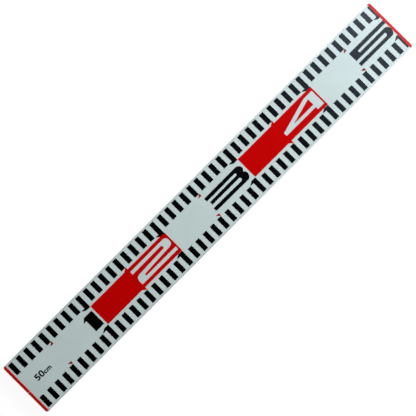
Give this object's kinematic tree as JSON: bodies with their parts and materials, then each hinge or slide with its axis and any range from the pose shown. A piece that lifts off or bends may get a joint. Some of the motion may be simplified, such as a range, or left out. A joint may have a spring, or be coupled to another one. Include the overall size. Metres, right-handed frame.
{
  "type": "leveling staff",
  "caption": "Short one-piece graduated staff: a flat hollow aluminium bar with a printed centimetre scale on its face and a red plug cap in each end, for showing sizes on site.",
  "frame": {"origin": "middle of the flat back, on the surface that the staff lies on", "axes": "+X along the scale from its zero to its far end, +Y across the face towards the tops of the numerals, +Z out of the printed face"},
  "size_m": [0.5, 0.06, 0.014],
  "materials": {
    "anodised_aluminium": "satin anodised, with fine extrusion lines along the bar",
    "scale_film": "pale cool grey film with a satin surface",
    "cap_plastic": "red moulded plastic, half gloss, paler along worn edges",
    "black_ink": "black screen print",
    "red_ink": "signal red screen print"
  },
  "bodies": {
    "root": {"aluminium_profile": "anodised_aluminium", "scale_film": "scale_film", "zero_end_cap": "cap_plastic", "far_end_cap": "cap_plastic", "centimetre_bars": "black_ink", "decimetre_marks": "black_ink", "red_blocks": "red_ink", "half_decimetre_pennants": "red_ink"}
  },
  "joints": []
}
